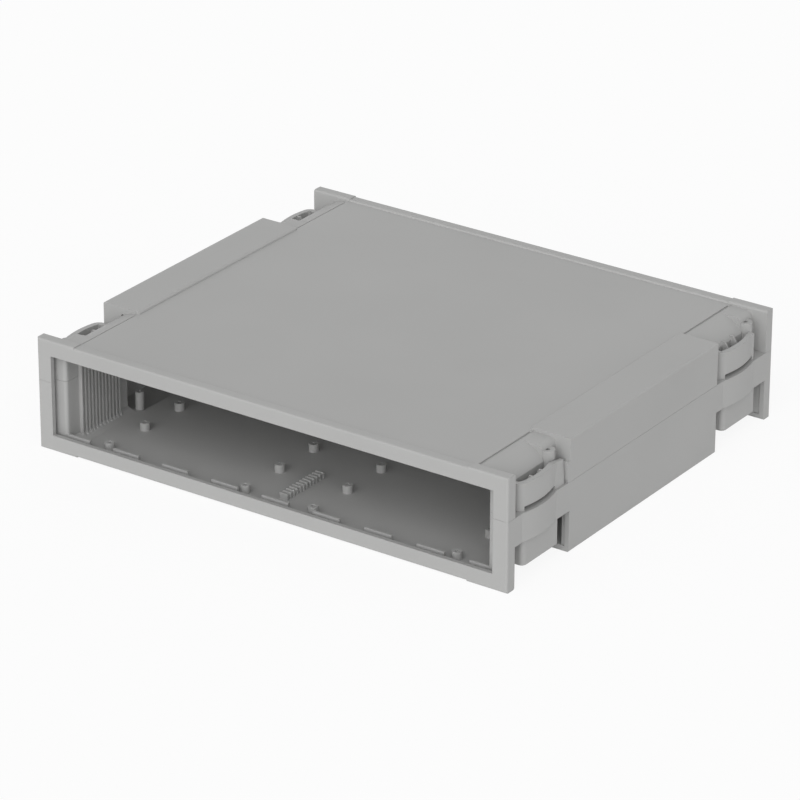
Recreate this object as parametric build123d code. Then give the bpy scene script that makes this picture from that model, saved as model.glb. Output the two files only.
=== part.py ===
from build123d import *
import os

# Desktop enclosure for a flat stack of circuit boards, in millimetres.
# Two moulded half shells meet at a level parting face and are held by four
# screws. X runs across the width, Y from the front to the rear, Z up. The
# origin is the middle of the footprint, on the surface that the case rests on.
# The case looks the same when it is turned half way round about Z.

os.makedirs("parts", exist_ok=True)

# Whole case
case_width = 310.0
case_depth = 267.0
case_height = 66.6
parting_height = 41.3
wall = 3.0
panel_inset = 1.5
edge_round = 1.2
seam_relief = 0.12

# Frame round the front and rear windows
frame_depth = 7.0
frame_bar = 9.3
frame_step = 0.6
frame_corner_width = 25.4
lip_depth = 2.8
groove_width = 2.5
groove_depth = 4.4
shoulder_round = 2.0

# Lugs that hold a panel in its groove
lug_across = 1.9
lug_pitch = 33.7
lug_pairs = 4
lug_length = 17.5
lug_thickness = 1.6
lug_stand = 0.5

# Side blocks between the recesses
block_width = 25.4

# Side wall of the board bay, measured in from the side of the case
bay_wall_inset = 15.5

# Recess at each corner, measured from its plain end and from the side of the case
recess_length = 52.1
recess_width = 23.4
recess_drop = 0.4
recess_radius = 17.0
shell_inset = 8.6
step_place = 39.5
land_inset = 9.4
land_round = 4.0
shadow_width = 1.0
shadow_depth = 0.9
shadow_margin = 2.0

# Curved band in the lower shell
band_height = 16.8
bulge_start = 6.5
bulge_length = 32.0
bulge_rise = 2.3

# Curved plate above the band and flat plate below it
upper_plate_top = 57.3
upper_plate_setback = 1.4
upper_plate_start = 6.5
upper_plate_round = 5.5
lower_plate_foot = 9.3
lower_plate_setback = 0.7
lower_plate_start = 9.2
lower_plate_round = 2.8
plate_thickness = 3.0
plate_end_by_frame = 41.0
lower_plate_end = 41.5

# Facet and leaning flat end of the upper plate by a block, and the block's tab
facet_start = 37.0
facet_bend = 42.5
facet_end = 48.8
facet_drop = 2.0
facet_lean = 0.9
tab_gap = 0.9
tab_top = 53.6
tab_lift = 1.8
tab_notch = 0.7

# Slot between the band and the upper plate, and the opening by the lower boss
slot_height = 2.6
slot_start = 9.7
slot_end = 39.8
end_opening_wall = 5.2
end_step = 0.8

# Ribs between a plate and the shell
rib_first = 10.5
rib_pitch = 9.1
rib_count = 3
rib_thickness = 1.2
rib_drop = 0.3
rib_knee_inset = 4.5
rib_shelf = 48.0
gusset_knee_inset = 7.5
gusset_top = 58.5
lower_rib_drop = 4.5

# Bosses and the screws that join the shells
boss_diameter = 8.3
boss_inset = 9.2
boss_along = 43.9
boss_top = 61.3
boss_foot = 11.0
pilot_diameter = 2.8
clearance_diameter = 3.6
head_bore_diameter = 6.4
head_seat = 22.0
screw_head_diameter = 5.8
screw_head_height = 2.2
screw_length = 32.0
screw_point = 1.6
drive_width = 0.9
drive_length = 3.4
drive_depth = 1.2

# Pillars for circuit boards
pillar_diameter = 5.8
pillar_height = 4.7
pillar_hole = 2.1
pillar_hole_depth = 4.2
pillar_inner = 22.7
pillar_outer_inset = 39.5
pillar_first = 11.9
pillar_pitch = 31.75
pillar_rows = 4

# Tall posts beside the openings to the side blocks
post_diameter = 5.0
post_height = 11.0
post_inset = 20.5
post_from_block = 4.5

# Upright board guides in the side walls, and the comb on the floor
guide_first = 16.9
guide_pitch = 3.0
guide_count = 12
guide_thickness = 1.2
guide_reach = 2.1
guide_foot = 3.5
comb_across = -0.3
comb_width = 5.4
comb_height = 3.7

# Worked out from the sizes above
half_width = case_width / 2
half_depth = case_depth / 2
panel_top = case_height - panel_inset
floor_top = panel_inset + wall
ceiling = panel_top - wall
window_half_width = half_width - frame_bar
window_head = case_height - frame_bar
bay_half_depth = half_depth - lip_depth - groove_width
recess_start = half_depth - frame_depth
half_block = recess_start - recess_length
bay_half_width = half_width - bay_wall_inset
recess_edge = half_width - recess_width
shell_edge = half_width - shell_inset
land_edge = half_width - land_inset
boss_across = half_width - boss_inset
pillar_columns = (pillar_inner, half_width - pillar_outer_inset)
post_across = half_width - post_inset
recess_top = panel_top - recess_drop
recess_foot = panel_inset + recess_drop
wall_outside = bay_half_width + wall
upper_centre = recess_top - recess_radius
lower_centre = recess_foot + recess_radius
band_foot = parting_height - band_height
slot_top = parting_height + slot_height
rib_top = upper_plate_top - rib_drop
bulge_half = bulge_length / 2
bulge_middle = bulge_start + bulge_half
bulge_radius = (bulge_half ** 2 + bulge_rise ** 2) / (2 * bulge_rise)
bulge_centre = half_width + bulge_rise - bulge_radius
rib_places = [rib_first + n * rib_pitch for n in range(rib_count)]
guide_places = [guide_first + n * guide_pitch - half_depth for n in range(guide_count)]
post_along = half_block - post_from_block
beyond = 5.0


def slab(x0, x1, y0, y1, z0, z1):
    """A plain block between two corners."""
    middle = ((x0 + x1) / 2, (y0 + y1) / 2, (z0 + z1) / 2)
    return Pos(*middle) * Box(x1 - x0, y1 - y0, z1 - z0)


def pin(x, y, z0, z1, diameter):
    """An upright cylinder."""
    return Pos(x, y, (z0 + z1) / 2) * Cylinder(diameter / 2, z1 - z0)


def all_ways(shape):
    """A shape and its mirror images, left and right, front and rear."""
    pair = [shape, mirror(shape, Plane.YZ)]
    return pair + [mirror(piece, Plane.XZ) for piece in pair]


def both_ends(shape):
    """A shape at the front and its mirror image at the rear."""
    return [shape, mirror(shape, Plane.XZ)]


def by_blocks(shape):
    """Copies of a recess feature at the two recesses that end at a side block.

    Such a feature is drawn with Y measured from the recess's plain end.
    """
    front = Pos(0, -recess_start, 0) * shape
    return [front, Rot(0, 0, 180) * front]


def by_frames(shape):
    """Copies of a recess feature at the two recesses that end at a frame."""
    rear = Pos(0, half_block, 0) * shape
    return [rear, Rot(0, 0, 180) * rear]


def four_recesses(shape):
    """Copies of a recess feature at all four corners."""
    return by_blocks(shape) + by_frames(shape)


def quarter(centre, radius, across, up):
    """A quarter circle from above or below its centre round to its side."""
    x, y = centre
    slant = radius * 0.5 ** 0.5
    return ThreePointArc((x, y + up * radius), (x + across * slant, y + up * slant),
                         (x + across * radius, y))


def rectangle(x0, x1, y0, y1):
    """A flat rectangle between two corners."""
    return Pos((x0 + x1) / 2, (y0 + y1) / 2) * Rectangle(x1 - x0, y1 - y0)


def side_plan(y0, y1, setback):
    """Plan of a stretch of a recess out to its bulged side, set back or not."""
    round_part = Pos(bulge_centre, bulge_middle) * Circle(bulge_radius - setback)
    round_part &= rectangle(wall_outside, half_width + bulge_rise, y0, y1)
    return rectangle(wall_outside, half_width - setback, y0, y1) + round_part


def side_reach(y, setback):
    """How far out the bulged side reaches at one place along a recess."""
    radius, away = bulge_radius - setback, y - bulge_middle
    return max(half_width - setback, bulge_centre + (radius ** 2 - away ** 2) ** 0.5)


def frame():
    """The front frame as a plain plate, with its raised corners."""
    y0, y1 = -half_depth, -recess_start
    plate = slab(frame_corner_width - half_width, half_width - frame_corner_width, y0, y1,
                 frame_step, case_height - frame_step)
    plate = fillet(plate.edges().filter_by(Axis.X), edge_round)
    corner = slab(half_width - frame_corner_width, half_width, y0, y1, 0, case_height)
    front = corner.edges().filter_by(Axis.Z).group_by(Axis.X)[-1].sort_by(Axis.Y)[:1]
    corner = fillet(corner.edges().filter_by(Axis.X) + front, edge_round)
    return plate + [corner, mirror(corner, Plane.YZ)]


def side_block():
    """The full height block on the right, between the two recesses."""
    block = slab(half_width - block_width, half_width, -half_block, half_block, 0, case_height)
    return fillet(block.edges().filter_by(Axis.Y), edge_round)


def round_section(inset):
    """Section of the rounded shell in a recess, drawn in X and Z."""
    radius = recess_radius - inset
    low, high = (recess_edge, lower_centre), (recess_edge, upper_centre)
    side = recess_edge + radius
    outline = [Line((recess_edge, lower_centre - radius), (recess_edge, upper_centre + radius)),
               quarter(high, radius, 1, 1),
               Line((side, upper_centre), (side, lower_centre)),
               quarter(low, radius, 1, -1)]
    return Plane.XZ * make_face(outline)


def rounded_shell():
    """The rounded stretch of a recess, and the square land beside the boss."""
    rounded = extrude(round_section(0), step_place, dir=(0, 1, 0))
    rounded &= slab(recess_edge, shell_edge, 0, step_place, 0, case_height)
    land = slab(recess_edge, land_edge, step_place, recess_length, recess_foot, recess_top)
    corners = [e for e in land.edges().filter_by(Axis.Y) if e.center().X > recess_edge]
    return rounded + fillet(corners, land_round)


def band():
    """The curved band below the parting face, and the floor that carries it."""
    whole = side_plan(0, recess_length, 0)
    skin = whole - rectangle(wall_outside, half_width - wall, 0, recess_length)
    return [Pos(0, 0, band_foot) * extrude(skin, band_height),
            Pos(0, 0, parting_height - wall) * extrude(whole, wall)]


def corner(x, y, start, end, radius):
    """What rounds the outer corner at a plate's start, about the centre of its rounding."""
    return rectangle(x, half_width + bulge_rise, start, end) - Pos(x, y) * Circle(radius)


def upper_plate(end):
    """A curved plate above the band; its start is rounded into the curve."""
    radius, reach = upper_plate_round, bulge_radius - upper_plate_setback
    y = upper_plate_start + radius
    along = y - bulge_middle
    x = bulge_centre + ((reach - radius) ** 2 - along ** 2) ** 0.5
    touch = bulge_middle + along * reach / (reach - radius)
    whole = side_plan(upper_plate_start, end, upper_plate_setback)
    inner = side_plan(upper_plate_start + plate_thickness, end, upper_plate_setback + plate_thickness)
    plan = whole - inner - corner(x, y, upper_plate_start, touch, radius)
    return Pos(0, 0, parting_height) * extrude(plan, upper_plate_top - parting_height)


def lower_plate():
    """The flat plate below the band, with a rounded corner at its start."""
    side, start = half_width - lower_plate_setback, lower_plate_start
    whole = rectangle(wall_outside, side, start, lower_plate_end)
    inner = rectangle(wall_outside, side - plate_thickness, start + plate_thickness, lower_plate_end)
    x, y = side - lower_plate_round, start + lower_plate_round
    plan = whole - inner - corner(x, y, start, y, lower_plate_round)
    return Pos(0, 0, lower_plate_foot) * extrude(plan, band_foot + wall - lower_plate_foot)


def ribs(sides, foot, top, knee, shelf):
    """The ribs between a plate and the shell, each out to its side of the plate.

    The top runs from the plate at one height, over a knee, to the shell's shelf height.
    """
    shapes = []
    for y, side in zip(rib_places, sides):
        outline = Polyline((wall_outside, foot), (side, foot), (side, top), knee,
                           (shell_edge, shelf), (wall_outside, shelf), close=True)
        rib = extrude(Plane.XZ * make_face(outline), rib_thickness, dir=(0, 1, 0))
        shapes.append(Pos(0, y - rib_thickness / 2, 0) * rib)
    return shapes


def facet_slope():
    """What is taken off the top of the upper plate's flat end."""
    low, top, x = upper_plate_top - facet_drop, upper_plate_top, half_width + bulge_rise
    outline = Polyline((facet_start, top), (facet_end, low), (facet_end + beyond, low),
                       (facet_end + beyond, top + beyond), (facet_start, top + beyond), close=True)
    wedge = extrude(Plane.YZ * make_face(outline), x - wall_outside, dir=(1, 0, 0))
    return Pos(wall_outside, 0, 0) * wedge


def facet():
    """What is taken off the outside of the upper plate's end: a lean and a facet beside it."""
    side, low, top = half_width - upper_plate_setback, parting_height, upper_plate_top
    far = side + bulge_rise + beyond
    outline = Polyline((side, low), (far, low), (far, top), (side - facet_lean, top), close=True)
    lean = extrude(Plane.XZ * make_face(outline), recess_length, dir=(0, 1, 0))
    foot = Vector(side, bulge_start + bulge_length, low)
    first = Vector(side_reach(facet_start, upper_plate_setback), facet_start, top)
    bend = Vector(side - facet_lean, facet_bend, top)
    outward = (foot - first).cross(bend - first)
    return lean & (Plane(foot, z_dir=outward) * Pos(0, 0, recess_length)
                   * Box(2 * recess_length, 2 * recess_length, 2 * recess_length))


def tab():
    """The tab of a side block towards the end of the upper plate, notched at its foot."""
    x0, y1 = half_width - wall, recess_length + wall
    start = facet_end + tab_gap
    upper = slab(x0, half_width, start, y1, parting_height + tab_lift, tab_top)
    return upper + slab(x0, half_width, start + tab_notch, y1, parting_height, tab_top)


def plates():
    """The plates and ribs of every recess; the upper plate is longer by a block."""
    rib_knee, gusset_knee = half_width - rib_knee_inset, half_width - gusset_knee_inset
    low_top, low_foot = band_foot + wall, lower_plate_foot + lower_rib_drop
    behind = upper_plate_setback + plate_thickness / 2
    high = [side_reach(y + rib_thickness / 2, behind) for y in rib_places]
    low = [half_width - lower_plate_setback - plate_thickness / 2] * rib_count
    shapes = by_blocks(upper_plate(facet_end) - facet_slope() - facet()) + by_blocks(tab())
    shapes += by_frames(upper_plate(plate_end_by_frame)) + four_recesses(lower_plate())
    for rib in ribs(high, slot_top, rib_top, (rib_knee, rib_top), rib_shelf):
        shapes += by_blocks(rib)
    for rib in ribs(high, slot_top, rib_shelf, (gusset_knee, gusset_top), gusset_top):
        shapes += by_frames(rib)
    for rib in ribs(low, low_foot, low_top, (rib_knee, low_top), low_top):
        shapes += four_recesses(rib)
    return shapes


def outside():
    """The outer form of the whole case as one solid."""
    core = slab(-recess_edge, recess_edge, -recess_start, recess_start, panel_inset, panel_top)
    block = side_block()
    shapes = [block, Rot(0, 0, 180) * block] + both_ends(frame()) + plates()
    for shape in [rounded_shell()] + band():
        shapes += four_recesses(shape)
    return core + shapes


def bay():
    """The inside of the case: board bay, panel grooves, windows and side blocks."""
    section = extrude(round_section(wall - recess_drop), 2 * bay_half_depth, dir=(0, 1, 0))
    side = Pos(0, -bay_half_depth, 0) * section
    side &= slab(0, bay_half_width, -half_depth, half_depth, 0, case_height)
    space = slab(-recess_edge, recess_edge, -bay_half_depth, bay_half_depth, floor_top, ceiling)
    hollow = slab(recess_edge, half_width - wall, wall - half_block, half_block - wall,
                  wall, case_height - wall)
    doorway = slab(recess_edge, wall_outside, -half_block, half_block, floor_top, ceiling)
    for shape in (side, hollow, doorway):
        space += [shape, Rot(0, 0, 180) * shape]
    groove_side = window_half_width + groove_depth
    grooves = slab(-groove_side, groove_side, lip_depth - half_depth, -bay_half_depth,
                   floor_top, ceiling)
    window = slab(-window_half_width, window_half_width, -half_depth - beyond,
                  lip_depth - half_depth, frame_bar, window_head)
    return space + both_ends(grooves) + both_ends(window)


def shoulder():
    """The rounding of the bay's side wall where it meets a panel groove."""
    x, y = bay_half_width + shoulder_round, shoulder_round - bay_half_depth
    square = slab(bay_half_width, x, -bay_half_depth, y, floor_top, ceiling)
    return square - pin(x, y, 0, case_height, 2 * shoulder_round)


def shadow_lines():
    """The narrow grooves where the top and bottom panels meet a recess."""
    inner = recess_edge - shadow_width
    start, end = shadow_margin, recess_length - shadow_margin
    top = slab(inner, recess_edge, start, end, panel_top - shadow_depth, case_height)
    foot = slab(inner, recess_edge, start, end, 0, panel_inset + shadow_depth)
    return top + foot


def band_slot():
    """The slot between the band and the upper plate."""
    return slab(shell_edge, half_width + bulge_rise + beyond, slot_start, slot_end,
                parting_height, slot_top)


def end_opening():
    """The opening beside the lower boss, into the side block behind it."""
    return slab(land_edge, half_width - end_opening_wall, recess_length,
                recess_length + wall, wall, band_foot)


def end_face_step():
    """The shallow step in the end face beside the lower boss."""
    return slab(land_edge, half_width - wall, recess_length, recess_length + end_step,
                wall, band_foot)


def boss():
    """A screw boss with its gussets."""
    half = rib_thickness / 2
    shoulder = boss_top - boss_diameter / 2
    column = pin(boss_across, boss_along, boss_foot, boss_top, boss_diameter)
    inward = slab(wall_outside - half, boss_across, boss_along - half, boss_along + half,
                  boss_foot, shoulder)
    rearward = slab(boss_across - half, boss_across + half, boss_along, recess_length,
                    parting_height, shoulder)
    return column + [inward, rearward]


def boss_floor():
    """The floor of the upper shell that carries the boss and the plate's flat end."""
    side = half_width - upper_plate_setback - plate_thickness / 2
    return slab(wall_outside, side, facet_start - plate_thickness, facet_end,
                parting_height, parting_height + wall)


def boss_bore():
    """The stepped bore of a boss: screw head below, pilot hole above."""
    x, y = boss_across, boss_along
    head = pin(x, y, boss_foot, head_seat, head_bore_diameter)
    clear = pin(x, y, head_seat, parting_height, clearance_diameter)
    return head + clear + pin(x, y, parting_height, boss_top, pilot_diameter)


def screw():
    """A pan head screw, head down, with a cross drive."""
    x, y = boss_across, boss_along
    head = pin(x, y, head_seat - screw_head_height, head_seat, screw_head_diameter)
    rim = head.faces().sort_by(Axis.Z)[0].edges()
    head = fillet(rim, screw_head_height / 2)
    shank = pin(x, y, head_seat, head_seat + screw_length, pilot_diameter)
    shank = chamfer(shank.faces().sort_by(Axis.Z)[-1].edges(), screw_point, pilot_diameter / 3)
    foot = head_seat - screw_head_height
    long, wide = drive_length / 2, drive_width / 2
    cross = slab(x - long, x + long, y - wide, y + wide, foot, foot + drive_depth)
    cross += slab(x - wide, x + wide, y - long, y + long, foot, foot + drive_depth)
    return head + shank - cross


def panel_lugs():
    """Lugs behind the front panel groove, on the floor and under the ceiling."""
    y0, half = -bay_half_depth, lug_length / 2
    lugs = []
    for n in range(-lug_pairs, lug_pairs + 1):
        x0, x1 = lug_across + n * lug_pitch - half, lug_across + n * lug_pitch + half
        lugs.append(slab(x0, x1, y0, y0 + lug_thickness, floor_top - wall / 2,
                         frame_bar + lug_stand))
        lugs.append(slab(x0, x1, y0, y0 + lug_thickness, window_head - lug_stand,
                         ceiling + wall / 2))
    return lugs


def pillar_spots():
    """Places of the circuit board pillars on the floor."""
    rows = [half_depth - pillar_first - n * pillar_pitch for n in range(pillar_rows)]
    return [(across * x, along * y) for x in pillar_columns for y in rows
            for across in (-1, 1) for along in (-1, 1)]


def guide_feet(x):
    """The rounded feet of the board guides on the floor, out from the guides' edge."""
    centre = (x - guide_foot, 0, floor_top + guide_foot)
    half = guide_thickness / 2
    square = slab(x - guide_foot, x, -half, half, floor_top - wall / 2, floor_top + guide_foot)
    return square - Pos(*centre) * Rot(90, 0, 0) * Cylinder(guide_foot, 2 * guide_thickness)


def guides():
    """Upright board guides on the right side wall at the front."""
    half = guide_thickness / 2
    x = bay_half_width - guide_reach
    foot = guide_feet(x)
    blades = [slab(x, bay_half_width + guide_thickness, y - half, y + half,
                   floor_top, ceiling - wall / 2) for y in guide_places]
    return blades + [Pos(0, y, 0) * foot for y in guide_places]


def comb():
    """The teeth on the floor that stand in line with the board guides."""
    half, foot = guide_thickness / 2, floor_top - wall / 2
    x0, x1 = comb_across - comb_width / 2, comb_across + comb_width / 2
    teeth = [slab(x0, x1, y - half, y + half, foot, floor_top + comb_height)
             for y in guide_places]
    return teeth + [Rot(0, 0, 180) * tooth for tooth in teeth]


def fittings():
    """Everything that is moulded on the inside, and the bosses in the recesses."""
    top = floor_top + pillar_height
    shapes = four_recesses(boss()) + by_blocks(boss_floor()) + comb()
    for lug in panel_lugs():
        shapes += [lug, Rot(0, 0, 180) * lug]
    for guide in guides():
        shapes += all_ways(guide)
    shapes += [pin(x, y, floor_top - wall / 2, top, pillar_diameter) for x, y in pillar_spots()]
    post = pin(post_across, post_along, wall / 2, floor_top + post_height, post_diameter)
    return shapes + all_ways(post)


def holes():
    """Screw holes in the bosses, the pillars and the tall posts."""
    top = floor_top + pillar_height
    shapes = [pin(x, y, top - pillar_hole_depth, top, pillar_hole) for x, y in pillar_spots()]
    shapes += all_ways(pin(post_across, post_along, floor_top, floor_top + post_height,
                           pillar_hole))
    return shapes + four_recesses(boss_bore())


def seam_relief_cuts():
    """The fine relief round the foot of the upper shell, which shows as the seam."""
    low, high = parting_height, parting_height + seam_relief
    ring = Rectangle(case_width + 2 * beyond, case_depth + 2 * beyond)
    plain = Rectangle(case_width, case_depth)
    ring -= offset(plain, -seam_relief, kind=Kind.INTERSECTION)
    cuts = [Pos(0, 0, low) * extrude(ring, seam_relief)]
    side = bay_half_width + seam_relief
    end = bay_half_depth + seam_relief
    groove_side = window_half_width + groove_depth
    cuts.append(slab(-side, side, -bay_half_depth, bay_half_depth, low, high))
    cuts.append(slab(-groove_side, groove_side, -end, end, low, high))
    return cuts


def shells():
    """The upper and lower shells."""
    cuts = [bay()] + all_ways(shoulder()) + four_recesses(shadow_lines())
    cuts += by_blocks(end_opening()) + four_recesses(end_face_step())
    solid = outside() - cuts + fittings() - holes()
    reach = half_width + bulge_rise + beyond
    above = slab(-reach, reach, -half_depth, half_depth, parting_height, case_height)
    below = slab(-reach, reach, -half_depth, half_depth, 0, parting_height)
    upper = (solid & above) - four_recesses(band_slot()) - seam_relief_cuts()
    return upper, solid & below


upper_shell, lower_shell = shells()
case_screws = Compound(children=[piece.solid() for piece in four_recesses(screw())])

export_step(upper_shell, "parts/upper_shell.step")
export_step(lower_shell, "parts/lower_shell.step")
export_step(case_screws, "parts/case_screws.step")
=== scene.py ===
"""Looks of a two-part plastic desktop enclosure, on a plain pale studio floor.

The moulded shells and the case screws keep the shapes of the fixed frame. This file gives
each of them the finish of the real material, and sets the floor, the lamps and the camera.
Lengths are in metres, in the frame's own place: X across, Y from front to rear, Z up.
"""

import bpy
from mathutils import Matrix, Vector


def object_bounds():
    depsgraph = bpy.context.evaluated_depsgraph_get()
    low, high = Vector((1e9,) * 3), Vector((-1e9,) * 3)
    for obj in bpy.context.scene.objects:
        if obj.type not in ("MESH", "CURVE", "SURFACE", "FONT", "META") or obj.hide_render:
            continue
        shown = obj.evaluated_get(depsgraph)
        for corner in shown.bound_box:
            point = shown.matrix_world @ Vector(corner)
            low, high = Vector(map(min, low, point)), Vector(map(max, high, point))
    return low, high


bl_info = {
    "name": "Desktop enclosure finish",
    "version": (1, 0, 0),
    "blender": (4, 5, 0),
    "location": "3D View > Sidebar > Enclosure",
    "description": "Finishes a two-part plastic enclosure and sets a studio stage for it",
    "category": "Object",
}

import math

import bpy
from bpy.props import FloatProperty, FloatVectorProperty, PointerProperty
from mathutils import Matrix, Vector

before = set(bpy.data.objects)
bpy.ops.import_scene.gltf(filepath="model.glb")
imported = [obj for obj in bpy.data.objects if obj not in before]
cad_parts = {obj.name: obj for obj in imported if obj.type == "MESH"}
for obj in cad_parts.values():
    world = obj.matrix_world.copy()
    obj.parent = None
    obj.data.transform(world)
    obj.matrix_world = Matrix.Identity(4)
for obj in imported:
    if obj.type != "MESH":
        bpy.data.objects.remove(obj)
cad_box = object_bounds()

SHELLS = ("upper_shell", "lower_shell")
SCREWS = "case_screws"
MILLIMETRE = 0.001

WHITE = (1, 1, 1, 1)

# Moulded plastic: index of refraction of ABS, and how deep and how strong its grain is.
ABS_IOR = 1.53
GRAIN_DEPTH = 0.05 * MILLIMETRE
GRAIN_STRENGTH = 0.25
EDGE_SAMPLES = 6

# Plating: width of one of its cloudy patches, their two colours, and how matt it is.
PLATING_PATCH = 0.6 * MILLIMETRE
PLATING_PALE = "#C3C6C8"
PLATING_DARK = "#A9ADB0"
PLATING_ROUGHNESS = 0.34

# Floor: its width, how far it lies under the case, and how much of it is plain white where
# it is seen.
FLOOR_WIDTH = 8
FLOOR_DROP = 0.1 * MILLIMETRE
FLOOR_WHITENESS = 0.9

# Lamps: turn from the front, positive to the right, rise above the floor, and how wide each
# one looks from the case.
KEY_TURN, KEY_RISE = math.radians(25), math.radians(30)
FILL_TURN, FILL_RISE = math.radians(-40), math.radians(20)
LAMP_WIDTH = math.radians(65)

# Camera: how far it stands to the left of the line through the middle of the case, how far
# below that line, and how far it sees.
CAMERA_LEFT = 4.34 * MILLIMETRE
CAMERA_DOWN = 12.79 * MILLIMETRE
CAMERA_REACH = 20


def linear(code):
    """An sRGB hex colour as the linear values that Blender works in."""
    parts = [int(code[place:place + 2], 16) / 255 for place in (1, 3, 5)]
    return tuple(p / 12.92 if p <= 0.04045 else ((p + 0.055) / 1.055) ** 2.4 for p in parts)


def add_node(tree, kind, settings=None, inputs=None):
    """Add a node, change its settings, and set or link its inputs."""
    made = tree.nodes.new(kind)
    for name, value in (settings or {}).items():
        setattr(made, name, value)
    for key, value in (inputs or {}).items():
        if isinstance(value, bpy.types.NodeSocket):
            tree.links.new(value, made.inputs[key])
        else:
            made.inputs[key].default_value = value
    return made


def new_material(name):
    """An empty node material and its tree."""
    material = bpy.data.materials.new(name)
    material.use_nodes = True
    material.node_tree.nodes.clear()
    return material, material.node_tree


def deselect():
    """Leave nothing selected, so that an operator acts only on what is picked next."""
    bpy.ops.object.select_all(action="DESELECT")


class PlasticSettings(bpy.types.PropertyGroup):
    """Finish of the moulded shells."""

    colour: FloatVectorProperty(
        name="Colour", description="Colour of the moulded plastic",
        subtype="COLOR", size=3, min=0, max=1, default=linear("#A9A9A8"))
    shade: FloatVectorProperty(
        name="Second shade", description="Faint cloudy shade that a moulding shows",
        subtype="COLOR", size=3, min=0, max=1, default=linear("#A3A3A2"))
    grain: FloatProperty(
        name="Grain", description="Width of one grain of the eroded mould's texture",
        unit="LENGTH", min=0.0001, max=0.005, default=0.8 * MILLIMETRE)
    cloud: FloatProperty(
        name="Cloud", description="Width of one cloudy patch",
        unit="LENGTH", min=0.005, max=0.5, default=70 * MILLIMETRE)
    edge: FloatProperty(
        name="Edge softness", description="Radius that a mould leaves on every sharp edge",
        unit="LENGTH", min=0, max=0.002, default=0.35 * MILLIMETRE)
    roughness: FloatProperty(
        name="Roughness", description="How matt the plastic is",
        subtype="FACTOR", min=0, max=1, default=0.52)


class StageSettings(bpy.types.PropertyGroup):
    """Camera, lamps and floor."""

    turn: FloatProperty(
        name="Turn", description="How far the camera stands to the right of the front",
        subtype="ANGLE", default=math.radians(34.708))
    rise: FloatProperty(
        name="Rise", description="How far the camera looks down",
        subtype="ANGLE", default=math.radians(24.908))
    tilt: FloatProperty(
        name="Tilt", description="Turn of the camera about its own line of sight",
        subtype="ANGLE", default=math.radians(0.167))
    distance: FloatProperty(
        name="Distance", description="From the camera to the case",
        unit="LENGTH", min=0.5, max=20, default=2.5524)
    lens: FloatProperty(
        name="Lens", description="Focal length in millimetres",
        unit="CAMERA", min=20, max=500, default=206.9)
    floor_colour: FloatVectorProperty(
        name="Floor", description="Colour of the studio floor",
        subtype="COLOR", size=3, min=0, max=1, default=linear("#F3F3F3"))
    key: FloatProperty(
        name="Key lamp", description="Share of full light from the right of the front",
        min=0, max=3, default=0.60)
    fill: FloatProperty(
        name="Fill lamp", description="Share of full light from the front left",
        min=0, max=3, default=0.08)
    sky: FloatProperty(
        name="Surrounding light", description="Share of full light from all round",
        min=0, max=3, default=0.50)


def eroded_abs(settings):
    """ABS, moulded in a spark-eroded tool: an even grey with a fine matt grain.

    The grain breaks a reflection into a soft sheen, and each edge is slightly round, so it
    catches a thin line of light. The real grain is about 0.1 mm, too fine to show here, so
    it is drawn several times as coarse.
    """
    material, tree = new_material("grey_abs_fine_grain")
    place = add_node(tree, "ShaderNodeTexCoord").outputs["Object"]
    cloud = add_node(tree, "ShaderNodeTexNoise", inputs={
        "Vector": place, "Scale": 1 / settings.cloud, "Detail": 2.0})
    colour = add_node(tree, "ShaderNodeMix", {"data_type": "RGBA"}, {
        "Factor": cloud.outputs["Fac"], "A": (*settings.colour, 1), "B": (*settings.shade, 1)})
    grain = add_node(tree, "ShaderNodeTexNoise", inputs={
        "Vector": place, "Scale": 1 / settings.grain, "Detail": 3.0, "Roughness": 0.6})
    soft_edge = add_node(tree, "ShaderNodeBevel", {"samples": EDGE_SAMPLES},
                         {"Radius": settings.edge})
    bump = add_node(tree, "ShaderNodeBump", inputs={
        "Strength": GRAIN_STRENGTH, "Distance": GRAIN_DEPTH, "Height": grain.outputs["Fac"],
        "Normal": soft_edge.outputs["Normal"]})
    shader = add_node(tree, "ShaderNodeBsdfPrincipled", inputs={
        "Base Color": colour.outputs["Result"], "Roughness": settings.roughness,
        "IOR": ABS_IOR, "Normal": bump.outputs["Normal"]})
    add_node(tree, "ShaderNodeOutputMaterial", inputs={"Surface": shader.outputs["BSDF"]})
    return material


def zinc_plated_steel():
    """Zinc plated steel, rolled and tumbled: a cool pale grey metal with a soft gloss."""
    material, tree = new_material("zinc_plated_steel")
    place = add_node(tree, "ShaderNodeTexCoord").outputs["Object"]
    patches = add_node(tree, "ShaderNodeTexNoise", inputs={
        "Vector": place, "Scale": 1 / PLATING_PATCH, "Detail": 3.0})
    colour = add_node(tree, "ShaderNodeMix", {"data_type": "RGBA"}, {
        "Factor": patches.outputs["Fac"], "A": (*linear(PLATING_PALE), 1),
        "B": (*linear(PLATING_DARK), 1)})
    shader = add_node(tree, "ShaderNodeBsdfPrincipled", inputs={
        "Base Color": colour.outputs["Result"], "Metallic": 1.0,
        "Roughness": PLATING_ROUGHNESS})
    add_node(tree, "ShaderNodeOutputMaterial", inputs={"Surface": shader.outputs["BSDF"]})
    return material


def seen_directly(tree):
    """One where the camera, a reflection or a clear piece shows the place, and else nought."""
    path = add_node(tree, "ShaderNodeLightPath")
    seen = add_node(tree, "ShaderNodeMath", {"operation": "MAXIMUM"}, {
        0: path.outputs["Is Camera Ray"], 1: path.outputs["Is Glossy Ray"]})
    return add_node(tree, "ShaderNodeMath", {"operation": "MAXIMUM"}, {
        0: seen.outputs["Value"], 1: path.outputs["Is Transmission Ray"]}).outputs["Value"]


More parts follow.
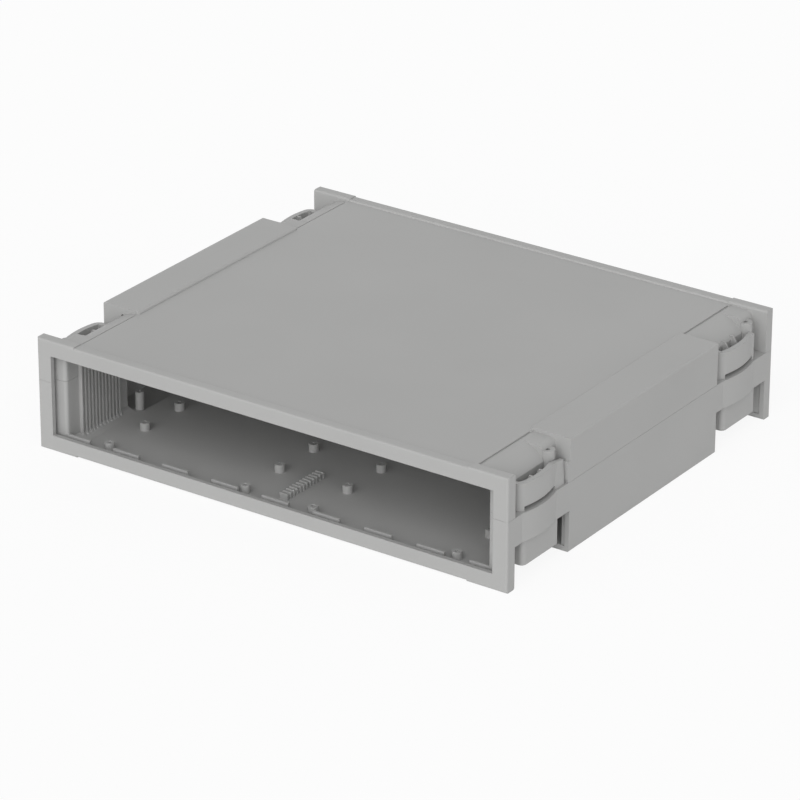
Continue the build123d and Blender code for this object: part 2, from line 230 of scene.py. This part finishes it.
def pale_floor(settings):
    """Matt pale studio paper, which is seen a little lighter than it is lit."""
    material, tree = new_material("studio_paper")
    paper = add_node(tree, "ShaderNodeBsdfDiffuse", inputs={
        "Color": (*settings.floor_colour, 1)})
    white = add_node(tree, "ShaderNodeEmission", inputs={"Color": WHITE})
    share = add_node(tree, "ShaderNodeMath", {"operation": "MULTIPLY"}, {
        0: seen_directly(tree), 1: FLOOR_WHITENESS})
    mixed = add_node(tree, "ShaderNodeMixShader", inputs={
        0: share.outputs["Value"], 1: paper.outputs["BSDF"], 2: white.outputs["Emission"]})
    add_node(tree, "ShaderNodeOutputMaterial", inputs={"Surface": mixed.outputs["Shader"]})
    return material


def dress(node, material):
    """Give a node of the frame its material in every slot."""
    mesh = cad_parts[node].data
    mesh.materials.clear()
    mesh.materials.append(material)


def add_sun(name, share, turn, rise):
    """A very large soft lamp far away, at a turn from the front and a rise above the floor."""
    lamp = bpy.data.lights.new(name, "SUN")
    lamp.energy = share * math.pi
    lamp.angle = LAMP_WIDTH
    holder = bpy.data.objects.new(name, lamp)
    bpy.context.scene.collection.objects.link(holder)
    holder.rotation_euler = (math.pi / 2 - rise, 0, turn)


def light_world(settings):
    """Even light from all round, and plain white behind everything."""
    world = bpy.data.worlds.new("studio")
    bpy.context.scene.world = world
    world.use_nodes = True
    tree = world.node_tree
    tree.nodes.clear()
    light = add_node(tree, "ShaderNodeBackground", inputs={
        "Color": WHITE, "Strength": settings.sky})
    white = add_node(tree, "ShaderNodeBackground", inputs={"Color": WHITE, "Strength": 1.0})
    mixed = add_node(tree, "ShaderNodeMixShader", inputs={
        0: seen_directly(tree), 1: light.outputs["Background"],
        2: white.outputs["Background"]})
    add_node(tree, "ShaderNodeOutputWorld", inputs={"Surface": mixed.outputs["Shader"]})


def add_camera(settings):
    """A long lens, turned to the right of the front and looking down."""
    level = (Matrix.Rotation(settings.turn, 3, "Z")
             @ Matrix.Rotation(math.pi / 2 - settings.rise, 3, "X"))
    turned = level @ Matrix.Rotation(settings.tilt, 3, "Z")
    lowest, highest = cad_box
    middle = Vector((0, 0, (lowest[2] + highest[2]) / 2))
    place = middle + level @ Vector((-CAMERA_LEFT, -CAMERA_DOWN, settings.distance))
    camera = bpy.data.cameras.new("camera")
    camera.lens = settings.lens
    camera.clip_end = CAMERA_REACH
    holder = bpy.data.objects.new("camera", camera)
    bpy.context.scene.collection.objects.link(holder)
    holder.matrix_world = Matrix.Translation(place) @ turned.to_4x4()
    bpy.context.scene.camera = holder


class ENCLOSURE_OT_shells(bpy.types.Operator):
    """Give both moulded shells their grey plastic"""

    bl_idname = "enclosure.shells"
    bl_label = "Finish shells"

    def execute(self, context):
        plastic = eroded_abs(context.scene.enclosure_plastic)
        for node in SHELLS:
            dress(node, plastic)
        return {"FINISHED"}


class ENCLOSURE_OT_screws(bpy.types.Operator):
    """Give the case screws their plated steel"""

    bl_idname = "enclosure.screws"
    bl_label = "Finish screws"

    def execute(self, context):
        dress(SCREWS, zinc_plated_steel())
        return {"FINISHED"}


class ENCLOSURE_OT_stage(bpy.types.Operator):
    """Set the floor, the lamps, the surrounding light and the camera"""

    bl_idname = "enclosure.stage"
    bl_label = "Set stage"

    def execute(self, context):
        settings = context.scene.enclosure_stage
        deselect()
        bpy.ops.mesh.primitive_plane_add(size=FLOOR_WIDTH, location=(0, 0, -FLOOR_DROP))
        floor = context.object
        floor.name = "floor"
        floor.data.materials.append(pale_floor(settings))
        add_sun("key", settings.key, KEY_TURN, KEY_RISE)
        add_sun("fill", settings.fill, FILL_TURN, FILL_RISE)
        light_world(settings)
        add_camera(settings)
        context.scene.view_settings.view_transform = "Standard"
        return {"FINISHED"}


class ENCLOSURE_PT_panel(bpy.types.Panel):
    """Lists the steps and the settings they use"""

    bl_label = "Desktop enclosure"
    bl_idname = "ENCLOSURE_PT_panel"
    bl_space_type = "VIEW_3D"
    bl_region_type = "UI"
    bl_category = "Enclosure"

    def draw(self, context):
        for step in STEPS:
            self.layout.operator(step.bl_idname)
        for group in (context.scene.enclosure_plastic, context.scene.enclosure_stage):
            for name in group.__annotations__:
                self.layout.prop(group, name)


STEPS = (ENCLOSURE_OT_shells, ENCLOSURE_OT_screws, ENCLOSURE_OT_stage)
GROUPS = (PlasticSettings, StageSettings)


def register():
    """Register the classes and the settings that the scene holds."""
    for kind in GROUPS + STEPS + (ENCLOSURE_PT_panel,):
        bpy.utils.register_class(kind)
    bpy.types.Scene.enclosure_plastic = PointerProperty(type=PlasticSettings)
    bpy.types.Scene.enclosure_stage = PointerProperty(type=StageSettings)


def unregister():
    """Take back what register added."""
    del bpy.types.Scene.enclosure_stage
    del bpy.types.Scene.enclosure_plastic
    for kind in reversed(GROUPS + STEPS + (ENCLOSURE_PT_panel,)):
        bpy.utils.unregister_class(kind)


def main():
    """Make every piece in order."""
    register()
    for call in (bpy.ops.enclosure.shells, bpy.ops.enclosure.screws, bpy.ops.enclosure.stage):
        call()


if __name__ == "__main__":
    main()
